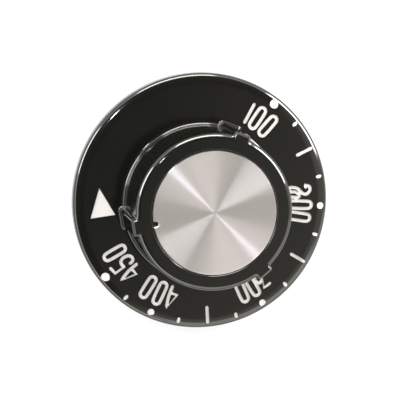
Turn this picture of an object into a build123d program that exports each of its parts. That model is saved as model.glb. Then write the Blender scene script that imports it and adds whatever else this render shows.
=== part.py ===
from build123d import *
import os
from math import hypot, radians, tan

# A griddle thermostat knob, in millimetres and degrees: a black moulded body with a flat dial skirt
# and a three-lug grip, a spun aluminium face insert let into the grip's top, and a hairpin spring in
# the shaft boss that bears on the flat of a flatted control shaft.
# Z runs along the shaft towards the user and Z = 0 is the back of the skirt. The pieces are drawn with
# the index on +X, and the whole knob is then turned to the index angle, which puts the index on +Y.

# Dial skirt
skirt_diameter = 63.5
skirt_depth = 4.5  # back of the rim to the dial face
skirt_plate = 2.4  # moulding behind the dial face
dial_edge_radius = 2.5
rim_wall = 2.2  # lip that stands back from the dial's edge
rim_back_chamfer = 1.0

# Grip
knob_height = 22.5  # back of the rim to the top of the grip
grip_diameter = 37.3  # at the top of the grip
grip_draft = 1.2
grip_wall = 2.6
grip_top_radius = 0.45
lug_count = 3
lug_reach = 1.3  # how far a lug stands out from the grip
lug_width = 4.2  # at the top of the grip
lug_corner_radius = 0.6
index_angle = 90.0  # of the lug that lines up with the insert's notch and the shaft's flat

# Face insert
insert_diameter = 30.0
insert_thickness = 0.8
insert_edge_chamfer = 0.2
insert_setback = 0.1  # insert's face below the top of the grip
seat_clearance = 0.2  # all round the insert
face_web = 2.6  # moulding behind the insert
notch_width = 1.3
notch_depth = 1.3
key_clearance = 0.15  # notch to the moulded key in it
key_length = 0.55
key_height = 0.5

# Shaft boss
shaft_diameter = 6.35
shaft_across_flat = 5.54
shaft_clearance = 0.025  # all round the shaft in the socket
entry_clearance = 0.275  # all round the shaft's plain part at the mouth
entry_length = 4.0
socket_depth = 15.0
mouth_chamfer = 0.4
boss_diameter = 14.4  # at the mouth of the boss
boss_setback = 1.0  # mouth of the boss in front of the back of the rim
rib_thickness = 1.8
rib_setback = 4.0  # back edge of a rib in front of the mouth of the boss

# Shaft spring
spring_thickness = 0.4
spring_width = 4.0
spring_length = 11.5
spring_room = 2.2  # from the shaft's flat to the back of the spring's pocket
spring_bite = 0.15  # how far the relaxed spring stands past the shaft's flat
spring_bend_radius = 0.5
spring_pad_length = 2.6  # flat of the bowed leg that bears on the shaft
spring_pad_radius = 4.0  # where the bowed leg turns into that flat
spring_leg_gap = 1.2  # between the middles of the two legs at the bend
spring_tip_lift = 0.7  # how far the free tip leans back from the pad
spring_tip_setback = 0.3  # free tip in from the entry, so that it clears the shaft's plain part
pocket_clearance = 0.15  # each side of the spring
pocket_mouth_gap = 0.8  # spring's end in from the mouth of the boss

# Values that follow from the ones above
skirt_radius = skirt_diameter / 2
skirt_back = skirt_depth - skirt_plate
grip_height = knob_height - skirt_depth
grip_top = grip_diameter / 2
grip_slope = tan(radians(grip_draft))
grip_spread = grip_height * grip_slope
grip_foot = grip_top + grip_spread
seat_floor = knob_height - insert_setback - insert_thickness
hollow_top = seat_floor - face_web
shaft_radius = shaft_diameter / 2
flat_offset = shaft_across_flat - shaft_radius
pocket_back = flat_offset + spring_room
spring_end = boss_setback + pocket_mouth_gap
pocket_top = spring_end + spring_length + pocket_clearance
standing = (Align.CENTER, Align.CENTER, Align.MIN)
outwards = (Align.MIN, Align.CENTER, Align.MIN)


def at_each_lug(piece):
    """Copies of a piece drawn on the +X side, one at each lug."""
    return [Rot(0, 0, n * 360 / lug_count) * piece for n in range(lug_count)]


def dial_skirt():
    """The flat dial with its rounded edge, and the lip behind the edge that the knob rests on."""
    rim_inside = skirt_radius - rim_wall
    section = make_face(
        Polyline(
            (0, skirt_back),
            (rim_inside, skirt_back),
            (rim_inside, 0),
            (skirt_radius, 0),
            (skirt_radius, skirt_depth),
            (0, skirt_depth),
            close=True,
        )
    )
    back_edge = section.vertices().sort_by_distance((skirt_radius, 0))[0]
    section = chamfer(back_edge, rim_back_chamfer)
    dial_edge = section.vertices().sort_by_distance((skirt_radius, skirt_depth))[0]
    section = fillet(dial_edge, dial_edge_radius)
    return revolve(Plane.XZ * section, Axis.Z)


def drafted_lug():
    """One grip lug as a drafted block from the axis out to its face, on the +X side."""
    foot = Rectangle(grip_foot + lug_reach, lug_width + 2 * grip_spread, align=outwards[:2])
    top = Rectangle(grip_top + lug_reach, lug_width, align=outwards[:2])
    return loft(Sketch() + [Pos(0, 0, skirt_depth) * foot, Pos(0, 0, knob_height) * top])


def grip():
    """The tapered grip with its lugs, with the lugs' corners and the top edge rounded."""
    hub = Pos(0, 0, skirt_depth) * Cone(grip_foot, grip_top, grip_height, align=standing)
    whole = hub + at_each_lug(drafted_lug())
    lug_middle = (grip_foot + grip_top + lug_reach) / 2
    outer_edges = [e for e in whole.edges() if hypot(e.center().X, e.center().Y) > lug_middle]
    corners = [e for e in outer_edges if e.bounding_box().size.Z > grip_height / 2]
    whole = fillet(corners, lug_corner_radius)
    top_edge = whole.faces().sort_by(Axis.Z)[-1].outer_wire().edges()
    return fillet(top_edge, grip_top_radius)


def hollow():
    """The hollow behind the grip, drafted so that the core pulls out backwards."""
    mouth = grip_foot + skirt_depth * grip_slope - grip_wall
    return Cone(mouth, mouth - hollow_top * grip_slope, hollow_top, align=standing)


def boss():
    """The shaft boss, narrower at its mouth, with its root buried in the web behind the insert."""
    mouth = boss_diameter / 2
    height = hollow_top + face_web / 2 - boss_setback
    return Pos(0, 0, boss_setback) * Cone(mouth, mouth + height * grip_slope, height, align=standing)


def rib():
    """One web from the boss to the grip's wall, on the +X side, with its ends buried in them."""
    start = boss_diameter / 4
    end = grip_top - grip_wall / 2
    back = boss_setback + rib_setback
    height = hollow_top + face_web / 2 - back
    return Pos(start, 0, back) * Box(end - start, rib_thickness, height, align=outwards)


def shaft_socket():
    """The blind socket for the shaft, its wider mouth, and the pocket beside it for the spring."""
    entry_radius = shaft_radius + entry_clearance
    socket = Cylinder(shaft_radius + shaft_clearance, socket_depth, align=standing)
    entry = Cylinder(entry_radius, entry_length, align=standing)
    lead_in = Cone(entry_radius + mouth_chamfer, entry_radius, mouth_chamfer, align=standing)
    pocket_width = spring_width + 2 * pocket_clearance
    pocket = Box(pocket_back, pocket_width, pocket_top - boss_setback, align=outwards)
    return Pos(0, 0, boss_setback) * (socket + entry + lead_in + pocket)


def insert_seat():
    """The shallow seat for the face insert, with a key that fits the insert's notch."""
    seat_radius = insert_diameter / 2 + seat_clearance
    seat = Cylinder(seat_radius, knob_height - seat_floor, align=standing)
    key_start = insert_diameter / 2 - key_length
    key_width = notch_width - 2 * key_clearance
    key = Pos(key_start, 0, 0) * Box(grip_top - key_start, key_width, key_height, align=outwards)
    return Pos(0, 0, seat_floor) * (seat - key)


def knob_body():
    """The one-piece moulding: skirt, grip, boss and ribs."""
    body = dial_skirt() + grip() - hollow() + boss() + at_each_lug(rib())
    return body - shaft_socket() - insert_seat()


def face_insert():
    """The aluminium disc, with its face edge broken and a round-ended notch in its rim at the index."""
    disc = Cylinder(insert_diameter / 2, insert_thickness, align=standing)
    face_edge = disc.edges().filter_by(GeomType.CIRCLE).sort_by(Axis.Z)[-1]
    disc = chamfer(face_edge, insert_edge_chamfer)
    round_end = insert_diameter / 2 - notch_depth + notch_width / 2
    notch = Cylinder(notch_width / 2, insert_thickness, align=standing)
    notch += Box(notch_depth, notch_width, insert_thickness, align=outwards)
    return Pos(0, 0, seat_floor) * (disc - Pos(round_end, 0, 0) * notch)


def shaft_spring():
    """The hairpin leaf: one leg flat on the back of its pocket, the other bowed over the shaft's flat."""
    half = spring_thickness / 2
    back_leg = pocket_back - half
    front_leg = back_leg - spring_leg_gap
    crest = flat_offset - spring_bite + half
    top = spring_end + spring_length - half
    tip = boss_setback + entry_length + spring_tip_setback
    pad = (top + tip) / 2
    path = FilletPolyline(
        (back_leg, spring_end),
        (back_leg, top),
        (front_leg, top),
        (crest, pad + spring_pad_length / 2),
        (crest, pad - spring_pad_length / 2),
        (crest + spring_tip_lift, tip),
        radius=[spring_bend_radius, spring_bend_radius, spring_pad_radius, spring_pad_radius],
    )
    section = trace(path, spring_thickness)
    return extrude(Plane.XZ * section, spring_width / 2, both=True)


os.makedirs("parts", exist_ok=True)
pieces = {
    "knob_body": knob_body(),
    "face_insert": face_insert(),
    "shaft_spring": shaft_spring(),
}
for name, piece in pieces.items():
    export_step(Rot(0, 0, index_angle) * piece, f"parts/{name}.step")
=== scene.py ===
import bmesh
import bpy
from math import atan2, cos, pi, radians, sin, sqrt, tan
from mathutils import Matrix, Vector


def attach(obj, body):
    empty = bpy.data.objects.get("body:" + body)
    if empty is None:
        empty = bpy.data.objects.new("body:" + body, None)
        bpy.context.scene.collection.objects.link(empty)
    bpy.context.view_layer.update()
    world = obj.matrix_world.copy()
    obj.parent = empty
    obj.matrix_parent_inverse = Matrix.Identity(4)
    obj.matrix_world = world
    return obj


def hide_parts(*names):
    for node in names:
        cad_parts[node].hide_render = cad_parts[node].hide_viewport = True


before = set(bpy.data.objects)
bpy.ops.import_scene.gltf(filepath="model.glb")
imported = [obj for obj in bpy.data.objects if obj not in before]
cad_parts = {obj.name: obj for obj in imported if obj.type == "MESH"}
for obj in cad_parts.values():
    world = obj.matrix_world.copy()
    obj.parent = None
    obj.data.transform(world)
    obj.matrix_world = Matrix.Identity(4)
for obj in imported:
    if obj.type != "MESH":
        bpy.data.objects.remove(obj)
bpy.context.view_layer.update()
stage = bpy.context.scene
stage.view_settings.view_transform = "Standard"

# Knob body: one compression moulding in glossy black phenolic. The dial skirt, the tall lugged grip and
# the seat for the face insert are its front; the hollow, the shaft boss and its ribs are its back.
# It rests on the back of the skirt's rim, and the index lug stands on +Y.
mm = 0.001
dial_face = 4.5
knob_top = 22.5
draft = tan(radians(1.2))
grip_top = 18.9
lug_reach = 1.05
lug_half_width = 2.1
lug_corner, least_corner = 0.6, 0.15
lug_root, least_root, most_root = 0.45, 0.1, 0.7
grip_foot_round, lug_foot_round = 0.9, 0.6
grip_top_round, lug_top_round = 1.0, 0.6
top_steps, foot_steps = 12, 10
edge_flatness = 1.5  # 1 makes the grip's top edge a plain rounding, 2 a chamfer
seat_radius = 15.2
seat_floor = 21.6
skirt_radius = 31.75
dial_edge, edge_drop = 2.5, 1.7  # how far in and how far down the dial's edge is rounded
edge_middle = skirt_radius - dial_edge
dial_inside, dial_back = 21.2, 1.5  # the dial's ring, which is drawn flat and cut before it is let in
support = 0.05  # a ring this close to a rounding keeps its shading off the flat beside it


def arc(x, y, radius, start, end, steps):
    """Points of an arc, its start left out."""
    turns = [radians(start + (end - start) * i / steps) for i in range(1, steps + 1)]
    return [(x + radius * cos(t), y + radius * sin(t)) for t in turns]


def grip_outline(z, out, lug_out):
    """The grip's outline at a height, its round and its lugs standing out from the moulded side."""
    rise = (knob_top - z) * draft
    hub = grip_top + rise + out
    half = lug_half_width + rise + lug_out
    reach = grip_top + lug_reach + rise + lug_out
    corner = min(max(lug_corner + lug_out, least_corner), lug_corner)
    root = min(max(lug_root - out, least_root), most_root)
    root_x = sqrt((hub + root) ** 2 - (half + root) ** 2)
    lean = atan2(half + root, root_x) * 180 / pi
    side = [(reach, (half - corner) * i / 3) for i in range(4)]
    side += arc(reach - corner, half - corner, corner, 0, 90, 8)
    side += [((reach - corner + root_x) / 2, half), (root_x, half)]
    side += arc(root_x, half + root, root, -90, lean - 180, 6)
    side += arc(0, 0, hub, lean, 60, 40)
    lug = [(x, -y) for x, y in reversed(side[1:])] + side[:-1]
    loop = []
    for n in range(3):
        c, s = cos(pi / 2 + n * 2 * pi / 3), sin(pi / 2 + n * 2 * pi / 3)
        loop += [(x * c - y * s, x * s + y * c, z) for x, y in lug]
    return loop


columns = [atan2(y, x) for x, y, _ in grip_outline(dial_face, 0, 0)]


def ring(radius, z):
    return [(radius * cos(t), radius * sin(t), z) for t in columns]


def rounded(r, z, radius, start, end, steps):
    """Rings of a rounding whose middle is at r and z."""
    first = (r + radius * cos(radians(start)), z + radius * sin(radians(start)))
    return [ring(*p) for p in [first] + arc(r, z, radius, start, end, steps)]


def new_object(name, mesh):
    piece = bpy.data.objects.new(name, mesh)
    stage.collection.objects.link(piece)
    return piece


def closed_form(name, rings, ends):
    """A closed mesh through rings of equal count. It has a point on the axis at each end, or with no
    ends runs round to its first ring again."""
    form = bmesh.new()
    made = [[form.verts.new(Vector(p) * mm) for p in loop] for loop in rings]
    for a, b in zip(made, made[1:] if ends else made[1:] + made[:1]):
        for i in range(len(a)):
            form.faces.new((a[i - 1], a[i], b[i], b[i - 1]))
    for loop, z in zip((made[0], made[-1]), ends):
        tip = form.verts.new((0, 0, z * mm))
        for i in range(len(loop)):
            form.faces.new((loop[i - 1], loop[i], tip))
    bmesh.ops.recalc_face_normals(form, faces=form.faces)
    mesh = bpy.data.meshes.new(name)
    form.to_mesh(mesh)
    form.free()
    return new_object(name, mesh)


def block(name, low, high, edge):
    """A block between two corners with its edges rounded."""
    form = bmesh.new()
    bmesh.ops.create_cube(form, size=1)
    size = [h - b for b, h in zip(low, high)]
    middle = [(b + h) / 2 for b, h in zip(low, high)]
    for v in form.verts:
        v.co = [(v.co[k] * size[k] + middle[k]) * mm for k in range(3)]
    bmesh.ops.bevel(form, geom=form.edges, offset=edge * mm, segments=3, profile=0.5, affect="EDGES")
    mesh = bpy.data.meshes.new(name)
    form.to_mesh(mesh)
    form.free()
    return new_object(name, mesh)


def baked(piece):
    """The piece's mesh with its modifiers worked in, which then go."""
    graph = bpy.context.evaluated_depsgraph_get()
    mesh = bpy.data.meshes.new_from_object(piece.evaluated_get(graph), depsgraph=graph)
    piece.modifiers.clear()
    return mesh


def worked(piece, tools, operation, tools_cross=False):
    """Joins tools to a piece or cuts them out of the piece. The tools are used up."""
    tray = bpy.data.collections.new("tools")
    for tool in tools:
        tray.objects.link(tool)
    work = piece.modifiers.new("work", "BOOLEAN")
    work.operand_type, work.collection = "COLLECTION", tray
    work.operation, work.solver, work.material_mode = operation, "EXACT", "TRANSFER"
    work.use_self = tools_cross
    piece.data = baked(piece)
    for tool in tools:
        bpy.data.objects.remove(tool)
    bpy.data.collections.remove(tray)


class Wire:
    """One output of a node. Arithmetic on it adds Math nodes to the same tree."""

    def __init__(self, socket):
        self.socket = socket

    @staticmethod
    def put(tree, kind, settings, sockets, out=0):
        """Adds a node: its settings first, then the values or wires of its sockets."""
        node = tree.nodes.new(kind)
        for name, value in settings.items():
            setattr(node, name, value)
        for key, value in sockets.items():
            if isinstance(value, Wire):
                tree.links.new(value.socket, node.inputs[key])
            else:
                node.inputs[key].default_value = value
        return Wire(node.outputs[out]) if node.outputs else node

    def math(self, operation, *values):
        sockets = dict(enumerate(values))
        return Wire.put(self.socket.id_data, "ShaderNodeMath", {"operation": operation}, sockets)

    def __add__(self, other):
        return self.math("ADD", self, other)

    def __radd__(self, other):
        return self.math("ADD", other, self)

    def __sub__(self, other):
        return self.math("SUBTRACT", self, other)

    def __rsub__(self, other):
        return self.math("SUBTRACT", other, self)

    def __mul__(self, other):
        return self.math("MULTIPLY", self, other)

    def __rmul__(self, other):
        return self.math("MULTIPLY", other, self)

    def __lt__(self, other):
        return self.math("LESS_THAN", self, other)

    def clamped(self, low, high):
        return self.math("MINIMUM", self.math("MAXIMUM", self, low), high)

    def part(self, axis):
        return Wire.put(self.socket.id_data, "ShaderNodeSeparateXYZ", {}, {0: self}, "XYZ".index(axis))


def new_finish(name):
    """A material, its tree, its shader's inputs and a wire of the piece's own coordinates."""
    made = bpy.data.materials.new(name)
    made.use_nodes = True
    tree = made.node_tree
    place = Wire.put(tree, "ShaderNodeTexCoord", {}, {}, 3)
    return made, tree, tree.nodes["Principled BSDF"].inputs, place


def feed(tree, socket, wire):
    tree.links.new(wire.socket, socket)


def noise(tree, place, scale, detail=2.0, rough=0.5):
    sockets = {"Vector": place, "Scale": scale, "Detail": detail, "Roughness": rough}
    return Wire.put(tree, "ShaderNodeTexNoise", {}, sockets)


def blend(tree, share, a, b):
    return Wire.put(tree, "ShaderNodeMix", {"data_type": "RGBA"}, {0: share, 6: a, 7: b}, 2)


phenolic, tree, shader, place = new_finish("black_phenolic")
cloud = noise(tree, place, 90, 3)
smear = noise(tree, place, 420, 4, 0.6)
feed(tree, shader["Base Color"], blend(tree, cloud, (0.0022, 0.0042, 0.0026, 1), (0.0076, 0.0054, 0.0042, 1)))
feed(tree, shader["Roughness"], 0.06 + 0.07 * smear + 0.03 * cloud)
ripple = 0.8 * cloud + 0.1 * smear
skin = Wire.put(tree, "ShaderNodeBump", {}, {"Strength": 0.05, "Distance": 0.0006, "Height": ripple})
feed(tree, shader["Normal"], skin)
shader["IOR"].default_value = 1.58

front = [ring(seat_radius - support, seat_floor), ring(seat_radius, seat_floor)]
front += [ring(seat_radius, knob_top - 0.2)]
front += rounded(seat_radius + 0.15, knob_top - 0.15, 0.15, 180, 90, 3)
front += [ring(seat_radius + 0.2, knob_top)]
front += [grip_outline(knob_top, -grip_top_round - support, -lug_top_round - support)]
for i in range(top_steps + 1):
    t = radians(90 - i * 90 / top_steps)
    z = knob_top - grip_top_round * (1 - sin(t) ** edge_flatness)
    inwards = cos(t) ** edge_flatness - 1
    front += [grip_outline(z, grip_top_round * inwards, lug_top_round * inwards)]
front += [grip_outline(knob_top - grip_top_round - support, 0, 0)]
front += [grip_outline(z, 0, 0) for z in (17, 12, 8, dial_face + grip_foot_round + support)]
for i in range(foot_steps + 1):
    t = radians(i * 90 / foot_steps)
    z = dial_face + grip_foot_round * (1 - sin(t))
    outwards = 1 - cos(t)
    front += [grip_outline(z, grip_foot_round * outwards, lug_foot_round * outwards)]
front += [grip_outline(dial_face, grip_foot_round + support, lug_foot_round + support)]

rim = [ring(dial_inside, dial_face), ring(edge_middle - support, dial_face)]
rim += [ring(edge_middle + dial_edge * sin(radians(t)), dial_face) for t in range(0, 91, 6)]
rim += [ring(skirt_radius, dial_face - edge_drop - support), ring(skirt_radius, dial_back)]

# The back's section runs from the rim's edge in over the hollow and the boss to the end of the socket.
rim_inside, skirt_back, hollow_top, boss_mouth = 29.55, 2.1, 19.0, 1.0
entry_radius, entry_end = 3.45, 5.0
socket_radius, socket_end = 3.2, 16.0
back = [ring(r, z) for r, z in ((skirt_radius, 0.8), (31.73, 0.72), (31.69, 0.65))]
back += [ring(r, z) for r, z in ((31.1, 0.06), (31.03, 0.02), (30.95, 0), (29.8, 0))]
back += rounded(29.75, 0.2, 0.2, -90, -180, 3)
back += [ring(rim_inside, 0.25), ring(rim_inside, 1.65)]
back += rounded(29.15, 1.7, 0.4, 0, 90, 4)
back += [ring(29.1, skirt_back), ring(16.82, skirt_back)]
back += rounded(16.77, 2.4, 0.3, -90, -180, 3)
back += [ring(16.47, 2.45), ring(16.13, 18.35)]
back += rounded(15.52, 18.4, 0.6, 0, 90, 5)
back += [ring(15.47, hollow_top), ring(8.12, hollow_top)]
back += rounded(8.07, 18.5, 0.5, 90, 180, 5)
back += [ring(7.57, 18.45), ring(7.205, 1.35)]
back += rounded(6.9, 1.3, 0.3, 0, -90, 4)
back += [ring(6.85, boss_mouth), ring(3.85, boss_mouth), ring(entry_radius, 1.4)]
back += [ring(entry_radius, entry_end), ring(socket_radius, entry_end), ring(socket_radius, socket_end)]
body = closed_form("knob_moulding", front + [rim[0], rim[-1]] + back, (seat_floor, socket_end))
body.data.materials.append(phenolic)

# Ribs behind the grip, the key in the insert's seat and the spring's pocket: all of the same moulding.
# The ribs stiffen the boss, one behind each lug, and the pocket opens the boss on the index side.


def new_tree(name, sockets):
    """A geometry tree with its named inputs, and a wire of each."""
    tree = bpy.data.node_groups.new(name, "GeometryNodeTree")
    tree.interface.new_socket("Geometry", in_out="OUTPUT", socket_type="NodeSocketGeometry")
    for label, kind in sockets.items():
        tree.interface.new_socket(label, in_out="INPUT", socket_type="NodeSocket" + kind)
    entry = tree.nodes.new("NodeGroupInput")
    wires = [Wire(entry.outputs[label]) for label in sockets]
    return tree, wires


def close_tree(tree, wire):
    tree.links.new(wire.socket, tree.nodes.new("NodeGroupOutput").inputs[0])


def apply_tree(piece, tree, values):
    """Adds the tree to a piece with its inputs set."""
    step = piece.modifiers.new(tree.name, "NODES")
    step.node_group = tree
    for item in tree.interface.items_tree:
        if item.in_out == "INPUT" and item.name in values:
            step[item.identifier] = values[item.name]


round_axis, (shape, first, pitch, count, side_finish, floor_finish) = new_tree(
    "round_the_axis",
    {
        "Geometry": "Geometry",
        "First angle": "Float",
        "Step": "Float",
        "Count": "Int",
        "Side finish": "Material",
        "Floor finish": "Material",
    },
)
index = Wire.put(round_axis, "GeometryNodeInputIndex", {}, {})
turn = Wire.put(round_axis, "ShaderNodeCombineXYZ", {}, {2: first + pitch * index})
turn = Wire.put(round_axis, "FunctionNodeEulerToRotation", {}, {0: turn})
spots = Wire.put(round_axis, "GeometryNodePoints", {}, {"Count": count})
copies = Wire.put(
    round_axis, "GeometryNodeInstanceOnPoints", {}, {"Points": spots, "Instance": shape, "Rotation": turn}
)
copies = Wire.put(round_axis, "GeometryNodeRealizeInstances", {}, {0: copies})
copies = Wire.put(round_axis, "GeometryNodeSetMaterial", {}, {"Geometry": copies, "Material": side_finish})
facing = Wire.put(round_axis, "GeometryNodeInputNormal", {}, {}).part("Z")
copies = Wire.put(
    round_axis,
    "GeometryNodeSetMaterial",
    {},
    {"Geometry": copies, "Selection": facing < -0.9, "Material": floor_finish},
)
close_tree(round_axis, copies)

ribs = block("ribs", (3.6, -0.9, 5.0), (17.35, 0.9, 20.3), 0.25)
apply_tree(
    ribs,
    round_axis,
    {
        "First angle": pi / 2,
        "Step": 2 * pi / 3,
        "Count": 3,
        "Side finish": phenolic,
        "Floor finish": phenolic,
    },
)
ribs.data = baked(ribs)
key = block("key", (-0.5, 14.45, 21.3), (0.5, 15.8, 22.1), 0.1)
pocket = block("pocket", (-2.15, -0.4, 0.2), (2.15, 4.565, 13.45), 0.1)
worked(body, [ribs, key], "UNION")
worked(body, [pocket], "DIFFERENCE")

# Dial marks: engraved in the mould's master with a round cutter and wiped full of white paint. Dots and
# ticks stand 14 degrees apart on the scale, and each number is set round the dial from its dot.
mark_depth = 0.1
stroke_floor = 0.62
stroke_mouth = 0.72
over = 0.2  # a cutter stands this far above the dial
paint, tree, shader, place = new_finish("dial_paint")
wear = noise(tree, place, 1500, 4, 0.65)
fleck = noise(tree, place, 4300, 3, 0.6)
feed(tree, shader["Base Color"], blend(tree, wear, (0.86, 0.83, 0.79, 1), (0.8, 0.76, 0.71, 1)))
feed(tree, shader["Roughness"], 0.42 + 0.25 * fleck)
lumps = wear + 0.4 * fleck
coat = Wire.put(tree, "ShaderNodeBump", {}, {"Strength": 0.25, "Distance": 0.0001, "Height": lumps})
feed(tree, shader["Normal"], coat)

engraver, (path, floor_width, mouth_width, depth, lift) = new_tree(
    "engraved_stroke",
    {
        "Geometry": "Geometry",
        "Floor width": "Float",
        "Mouth width": "Float",
        "Depth": "Float",
        "Lift": "Float",
    },
)
tall = depth + lift
top_width = floor_width + (mouth_width - floor_width) * tall.math("DIVIDE", tall, depth)
section = Wire.put(
    engraver,
    "GeometryNodeCurvePrimitiveQuadrilateral",
    {"mode": "TRAPEZOID"},
    {"Bottom Width": floor_width, "Top Width": top_width, "Offset": 0.0, "Height": tall},
)
level = Wire.put(engraver, "GeometryNodeSetCurveNormal", {"mode": "Z_UP"}, {0: path})
swept = Wire.put(
    engraver,
    "GeometryNodeCurveToMesh",
    {},
    {"Curve": level, "Profile Curve": section, "Fill Caps": True},
)
bit = Wire.put(
    engraver,
    "GeometryNodeMeshCone",
    {},
    {
        "Vertices": 20,
        "Radius Top": top_width * 0.5,
        "Radius Bottom": floor_width * 0.5,
        "Depth": tall,
    },
)
half_down = Wire.put(engraver, "ShaderNodeCombineXYZ", {}, {2: tall * -0.5})
bit = Wire.put(engraver, "GeometryNodeTransform", {}, {"Geometry": bit, "Translation": half_down})
ends = Wire.put(engraver, "GeometryNodeCurveEndpointSelection", {}, {})
plunges = Wire.put(
    engraver, "GeometryNodeInstanceOnPoints", {}, {"Points": path, "Selection": ends, "Instance": bit}
)
joined = Wire.put(engraver, "GeometryNodeJoinGeometry", {}, {0: plunges})
engraver.links.new(swept.socket, joined.socket.node.inputs[0])
close_tree(engraver, Wire.put(engraver, "GeometryNodeRealizeInstances", {}, {0: joined}))

stroke_sizes = {
    "Floor width": stroke_floor * mm,
    "Mouth width": stroke_mouth * mm,
    "Depth": mark_depth * mm,
    "Lift": over * mm,
}
cutter_middle = dial_face + (over - mark_depth) / 2
paint_in = {"Side finish": phenolic, "Floor finish": paint}


def engraved(name, strokes, first, pitch, count):
    """A cutter that follows strokes. A stroke is its points and whether it closes; a third value on a
    point makes a corner of it."""
    line = bpy.data.curves.new(name, "CURVE")
    line.dimensions = "3D"
    line.resolution_u = 5
    for points, closes in strokes:
        spline = line.splines.new("BEZIER")
        spline.bezier_points.add(len(points) - 1)
        spline.use_cyclic_u = closes
        for knot, (x, y, *corner) in zip(spline.bezier_points, points):
            knot.co = Vector((x, y, cutter_middle)) * mm
            knot.handle_left_type = knot.handle_right_type = "VECTOR" if corner else "AUTO"
    piece = new_object(name, line)
    apply_tree(piece, engraver, stroke_sizes)
    apply_tree(piece, round_axis, {"First angle": first, "Step": pitch, "Count": count, **paint_in})
    cutter = new_object(name, baked(piece))
    bpy.data.objects.remove(piece)
    return cutter


def drilled(name, outline, inset, first, pitch, count):
    """A cutter with a flat floor inside an outline, its sides leaning in by the inset."""
    form = bmesh.new()
    middle = Vector((sum(p[0] for p in outline), sum(p[1] for p in outline))) / len(outline)
    levels = []
    for z, grow in ((-mark_depth, 1 - inset), (over, 1 + inset * over / mark_depth)):
        spots = [middle + (Vector(p) - middle) * grow for p in outline]
        levels.append([form.verts.new((x * mm, y * mm, (dial_face + z) * mm)) for x, y in spots])
    for i in range(len(outline)):
        form.faces.new((levels[0][i - 1], levels[0][i], levels[1][i], levels[1][i - 1]))
    for level in levels:
        form.faces.new(level)
    bmesh.ops.recalc_face_normals(form, faces=form.faces)
    mesh = bpy.data.meshes.new(name)
    form.to_mesh(mesh)
    form.free()
    piece = new_object(name, mesh)
    apply_tree(piece, round_axis, {"First angle": first, "Step": pitch, "Count": count, **paint_in})
    piece.data = baked(piece)
    return piece


scale_start = radians(-46.7)
scale_step = radians(-14)
scale_radius = 30.0
short_tick = [([(29.6, 0, 1), (30.5, 0, 1)], False)]
long_tick = [([(26.4, 0, 1), (30.4, 0, 1)], False)]
end_dot = arc(scale_radius, 0, 1.15, 0, 360, 40)
dot = arc(scale_radius, 0, 0.92, 0, 360, 36)
arrow = [(21.5, 0), (24.65, -7.45), (27.9, 0)]
index_turn = radians(87.7)
cutters = [
    engraved("short_ticks", short_tick, scale_start + scale_step, 2 * scale_step, 7),
    engraved("long_ticks", long_tick, scale_start + 2 * scale_step, 4 * scale_step, 3),
    drilled("end_dots", end_dot, 0.08, scale_start, 14 * scale_step, 2),
    drilled("dots", dot, 0.1, scale_start + 4 * scale_step, 4 * scale_step, 3),
    drilled("index_arrow", arrow, 0.05, index_turn, 0.0, 1),
]

numeral_radius = 24.8
zero_half_width, zero_straight = 0.9, 2.0
zero_top = [(zero_half_width, zero_straight)] + arc(0, zero_straight, zero_half_width, 0, 180, 8)
numerals = {
    "0": [(zero_top + [(-x, -y) for x, y in zero_top], True)],
    "1": [([(0, 2.55, 1), (0, -2.55, 1)], False)],
    "2": [
        (
            [
                (-1.3, 1.5), (-1.24, 2.3), (-0.45, 2.62), (0.33, 2.23), (0.7, 1.58), (0.57, 0.85),
                (0.09, 0.28), (-0.63, -0.27), (-1.07, -0.96), (-1.28, -1.69), (-1.3, -2.5, 1),
                (-0.2, -2.5, 1), (-0.2, -1.8), (-0.08, -1.2), (0.35, -0.6), (0.85, -0.18),
                (1.3, -0.45), (1.15, -1.8), (1.05, -2.5),
            ],
            False,
        ),
        ([(-1.6, 1.5, 1), (-0.95, 1.55, 1)], False),
    ],
    "3": [
        (
            [
                (-0.75, 2.3, 1), (1.15, 2.2, 1), (0.1, 0.15, 1), (0.7, 0.5), (1.3, 0.52), (1.65, 0.0),
                (1.6, -1.2), (1.2, -2.2), (0.4, -2.6), (-0.4, -2.4), (-0.8, -1.7),
            ],
            False,
        )
    ],
    "4": [([(0.28, -2.72), (0.43, 0.0), (0.05, 2.84, 1), (-1.49, -0.89, 1), (0.42, -0.93, 1)], False)],
    "5": [
        (
            [
                (1.15, 2.9, 1), (-0.58, 2.75, 1), (-0.73, 0.1, 1), (0.43, 0.13), (1.07, -0.43),
                (1.03, -2.05), (0.58, -2.69), (-0.07, -2.89), (-0.72, -2.65), (-0.96, -1.57),
            ],
            False,
        )
    ],
}
numbers = {
    "100": (8.45, 2.99, -4.61),
    "200": (7.65, 0.19, -6.73),
    "300": (7.23, 0.04, -6.83),
    "400": (6.55, 0.1, -7.67),
    "450": (6.5, 0.33, -7.83),
}
strokes = []
for number, turns in numbers.items():
    mark_turn = scale_start + scale_step * (int(number) - 100) / 25
    for digit, turn in zip(number, turns):
        c, s = cos(mark_turn + radians(turn)), sin(mark_turn + radians(turn))
        for points, closes in numerals[digit]:
            set_round = [
                ((numeral_radius + y) * c + x * s, (numeral_radius + y) * s - x * c, *corner)
                for x, y, *corner in points
            ]
            strokes.append((set_round, closes))
cutters.append(engraved("numbers", strokes, 0.0, 0.0, 1))
dial = closed_form("dial", rim + [ring(dial_inside, dial_back)], ())
dial.data.materials.append(phenolic)
worked(dial, cutters, "DIFFERENCE", True)
for v in dial.data.vertices:
    if v.co.z > (dial_face - 2 * mark_depth) * mm:
        out = min(max((v.co.xy.length / mm - edge_middle) / dial_edge, 0), 1)
        v.co.z -= edge_drop * (1 - sqrt(1 - out**2)) * mm

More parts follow.
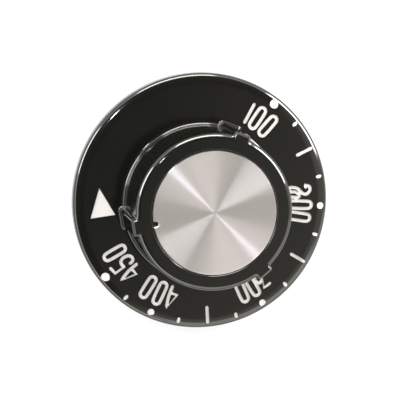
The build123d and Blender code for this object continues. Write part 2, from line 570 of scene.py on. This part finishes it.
# The cut ring takes the place of the plain strip that stood in for it on the body.
form = bmesh.new()
form.from_mesh(body.data)
middle = (dial_inside + skirt_radius) / 2
spare = [f for f in form.faces if abs(f.calc_center_median().xy.length / mm - middle) < 0.5]
form.from_mesh(dial.data)
form.faces.ensure_lookup_table()
for face in form.faces[len(body.data.polygons):]:
    low = all(v.co.z < (dial_back + 0.01) * mm for v in face.verts)
    inside = all(v.co.xy.length < (dial_inside + 0.01) * mm for v in face.verts)
    if low or inside:
        spare.append(face)
bmesh.ops.delete(form, geom=spare, context="FACES")
bmesh.ops.remove_doubles(form, verts=form.verts, dist=0.0001 * mm)
form.to_mesh(body.data)
form.free()
body.data.materials.append(paint)
bpy.data.objects.remove(dial)


def smoothed(mesh, crease):
    """Smooth shading with the edges that turn by more than an angle kept sharp."""
    mesh.shade_smooth()
    mesh.set_sharp_from_angle(angle=radians(crease))


smoothed(body.data, 28)
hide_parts("knob_body")
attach(body, "root")

# Face insert: a disc of aluminium sheet with a spun finish, glued into the grip's seat with its notch
# over the moulded key. The notch is punched through and broken at its face edge, which shines.
disc_radius = 15.0
disc_back, disc_face = 21.6, 22.4
disc_edge = 0.22
notch_half = 0.65
notch_middle = 14.35
notch_lip = 0.09
aluminium, tree, shader, place = new_finish("spun_aluminium")
x, y = place.part("X"), place.part("Y")
radius = x.math("SQRT", x * x + y * y)
track = Wire.put(tree, "ShaderNodeCombineXYZ", {}, {0: radius})
lines = noise(tree, track, 9000, 3, 0.7)
bands = noise(tree, track, 1400, 3, 0.6)
blush = noise(tree, place, 120, 2)
shade = blend(tree, 0.6 * lines + 0.4 * bands, (0.79, 0.755, 0.76, 1), (0.92, 0.88, 0.89, 1))
feed(tree, shader["Base Color"], shade)
feed(tree, shader["Roughness"], 0.25 + 0.05 * bands + 0.03 * blush)
turned = Wire.put(tree, "ShaderNodeBump", {}, {"Strength": 0.12, "Distance": 0.00005, "Height": lines})
feed(tree, shader["Normal"], turned)
shader["Metallic"].default_value = 1.0
shader["Anisotropic"].default_value = 1.0
shader["Anisotropic Rotation"].default_value = 0.25

rings = [ring(3, disc_face), ring(9, disc_face), ring(disc_radius - disc_edge - support, disc_face)]
rings += rounded(disc_radius - disc_edge, disc_face - disc_edge, disc_edge, 90, 0, 5)
rings += [ring(disc_radius, disc_back)]
insert = closed_form("face_disc", rings, (disc_face, disc_back))
insert.data.materials.append(aluminium)
form = bmesh.new()
levels = []
for z, out in ((disc_back - 0.3, 0), (disc_face - notch_lip, 0), (disc_face + 0.3, notch_lip + 0.3)):
    half = notch_half + out
    outline = [(half, notch_middle + 2), (-half, notch_middle + 2), (-half, notch_middle)]
    outline += arc(0, notch_middle, half, 180, 360, 16)
    levels.append([form.verts.new((x * mm, y * mm, z * mm)) for x, y in outline])
for low, high in zip(levels, levels[1:]):
    for i in range(len(low)):
        form.faces.new((low[i - 1], low[i], high[i], high[i - 1]))
form.faces.new(levels[0])
form.faces.new(levels[-1])
bmesh.ops.recalc_face_normals(form, faces=form.faces)
punch_mesh = bpy.data.meshes.new("punch")
form.to_mesh(punch_mesh)
form.free()
worked(insert, [new_object("punch", punch_mesh)], "DIFFERENCE")
smoothed(insert.data, 28)
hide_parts("face_insert")
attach(insert, "root")

# Shaft spring: a folded leaf of hardened steel strip, pushed into the boss's pocket from the back. Its
# bowed leg bears on the flat of the shaft. The CAD solid has its shape and gets a rolled finish.
steel, tree, shader, place = new_finish("spring_steel")
stretch = Wire.put(tree, "ShaderNodeMapping", {}, {"Vector": place, "Scale": (6000.0, 6000.0, 120.0)})
rolled = Wire.put(tree, "ShaderNodeTexNoise", {}, {"Vector": stretch, "Scale": 1.0, "Detail": 3.0})
tint = noise(tree, place, 300, 2)
feed(tree, shader["Base Color"], blend(tree, tint, (0.5, 0.5, 0.51, 1), (0.42, 0.4, 0.37, 1)))
feed(tree, shader["Roughness"], 0.26 + 0.16 * rolled)
shader["Metallic"].default_value = 1.0
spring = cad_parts["shaft_spring"]
spring.data.materials.clear()
spring.data.materials.append(steel)

# Floor and backdrop: a wide pale sheet that the knob lies on, which reads as white and keeps a soft shadow.
# The room round it is white near the floor, dark overhead and warm on the window's side.
floor_size = 3.0
floor_gap = Matrix.Translation((0, 0, -0.02 * mm))  # keeps the sheet's face off the rim's
form = bmesh.new()
bmesh.ops.create_grid(form, x_segments=8, y_segments=8, size=floor_size, matrix=floor_gap)
floor_mesh = bpy.data.meshes.new("floor")
form.to_mesh(floor_mesh)
form.free()
floor = new_object("floor", floor_mesh)
sheet = bpy.data.materials.new("pale_sheet")
sheet.use_nodes = True
tree = sheet.node_tree
tree.nodes.clear()


def seen_ray(tree):
    """1 for rays from the camera and for mirrored or passed rays, 0 for soft light."""
    rays = [Wire.put(tree, "ShaderNodeLightPath", {}, {}, out) for out in (0, 3, 6)]
    return (rays[0] + rays[1] + rays[2]).clamped(0.0, 1.0)


matt = Wire.put(tree, "ShaderNodeBsdfDiffuse", {}, {"Color": (0.86, 0.86, 0.86, 1)})
dim = Wire.put(tree, "ShaderNodeBsdfDiffuse", {}, {"Color": (0.28, 0.28, 0.28, 1)})
glow = Wire.put(tree, "ShaderNodeEmission", {}, {"Color": (1, 1, 1, 1), "Strength": 0.75})
lit = Wire.put(tree, "ShaderNodeAddShader", {}, {0: dim, 1: glow})
both = Wire.put(tree, "ShaderNodeMixShader", {}, {0: seen_ray(tree), 1: matt, 2: lit})
Wire.put(tree, "ShaderNodeOutputMaterial", {}, {0: both})
floor.data.materials.append(sheet)

room = bpy.data.worlds.new("room")
stage.world = room
room.use_nodes = True
tree = room.node_tree
tree.nodes.clear()
towards = Wire.put(tree, "ShaderNodeTexCoord", {}, {}, 0)
window_side = radians(220)
bright_side = towards.part("X") * cos(window_side) + towards.part("Y") * sin(window_side)
low = ((0.34 - towards.part("Z")) * 4.0).clamped(0.0, 1.0)
warm = ((bright_side - 0.17) * 4.5).clamped(0.0, 1.0)
shade = blend(tree, low, (0.1, 0.11, 0.1, 1), (1, 1, 1, 1))
shade = blend(tree, warm, shade, (1, 0.94, 0.86, 1))
seen = Wire.put(tree, "ShaderNodeBackground", {}, {"Color": shade, "Strength": 1.0})
soft = Wire.put(tree, "ShaderNodeBackground", {}, {"Color": (0.95, 0.97, 1, 1), "Strength": 0.5})
sky = Wire.put(tree, "ShaderNodeMixShader", {}, {0: seen_ray(tree), 1: soft, 2: seen})
Wire.put(tree, "ShaderNodeOutputWorld", {}, {0: sky})

# Lights: soft cards low round the horizon, a window on the far side and one small lamp on the near side.
# Each is set by how bright its face is, and none is seen by the camera itself.
light_distance = 0.9
aim_height = 0.012  # about half the knob's height


def card(name, azimuth, tilt, wide, tall, brightness, colour):
    """A lamp at an azimuth and a tilt from straight overhead, its face's size given as angles."""
    a, t = radians(azimuth), radians(tilt)
    towards = Vector((sin(t) * cos(a), sin(t) * sin(a), cos(t)))
    lamp = bpy.data.lights.new(name, "AREA")
    lamp.shape = "RECTANGLE"
    lamp.size = 2 * light_distance * tan(radians(wide / 2))
    lamp.size_y = 2 * light_distance * tan(radians(tall / 2))
    lamp.energy = brightness * pi * lamp.size * lamp.size_y
    lamp.color = colour
    piece = new_object(name, lamp)
    piece.location = towards * light_distance + Vector((0, 0, aim_height))
    piece.rotation_euler = towards.to_track_quat("Z", "Y").to_euler()
    piece.visible_camera = False


bluish, white, cream = (0.9, 0.9, 1), (1, 0.99, 0.97), (1, 0.98, 0.95)
straw, daylight = (1, 0.97, 0.92), (1, 0.96, 0.9)
card("small_lamp", 33, 44, 3, 6, 150, bluish)
card("low_left", 58, 81, 27, 15, 20, white)
card("low_top", -5, 81, 42, 15, 22, cream)
card("low_right", -72, 79, 34, 18, 36, white)
card("low_between", 30, 80, 28, 14, 3, cream)
card("low_side_left", 91, 80, 38, 14, 4, straw)
card("low_far_left", 137, 80, 52, 14, 4.5, daylight)
card("low_side_right", -40, 80, 27, 14, 3, cream)
card("window", 198, 60, 60, 27, 2.1, daylight)
card("window_left", 178, 81, 31, 14, 2.2, daylight)
card("window_right", 220, 81, 54, 14, 2.2, daylight)

# Camera: almost straight above the dial, leaning towards the upper left of the photograph. It looks at
# the middle of the picture, which the dial's middle is a little off.
view_azimuth, view_tilt = radians(40.1), radians(13.04)
view_distance = 500.0
photo_up = radians(-10.3)
pixels_per_mm = 4.064
frame_pixels = 400
dial_right, dial_down = 1.8, 2.1  # pixels from the picture's middle to the dial's
look = Vector((sin(view_tilt) * cos(view_azimuth), sin(view_tilt) * sin(view_azimuth), cos(view_tilt)))
lean = Vector((0, 0, 1)).rotation_difference(look)
up = lean @ Vector((cos(photo_up), sin(photo_up), 0))
right = up.cross(look)
aim = Vector((0, 0, dial_face)) + (up * dial_down - right * dial_right) / pixels_per_mm
lens = bpy.data.cameras.new("camera")
lens.sensor_width = 36
lens.lens = pixels_per_mm * view_distance * lens.sensor_width / frame_pixels
lens.clip_start, lens.clip_end = 0.01, 20
camera = new_object("camera", lens)
place = Matrix((right, up, look)).transposed().to_4x4()
place.translation = (aim + look * view_distance) * mm
camera.matrix_world = place
stage.camera = camera
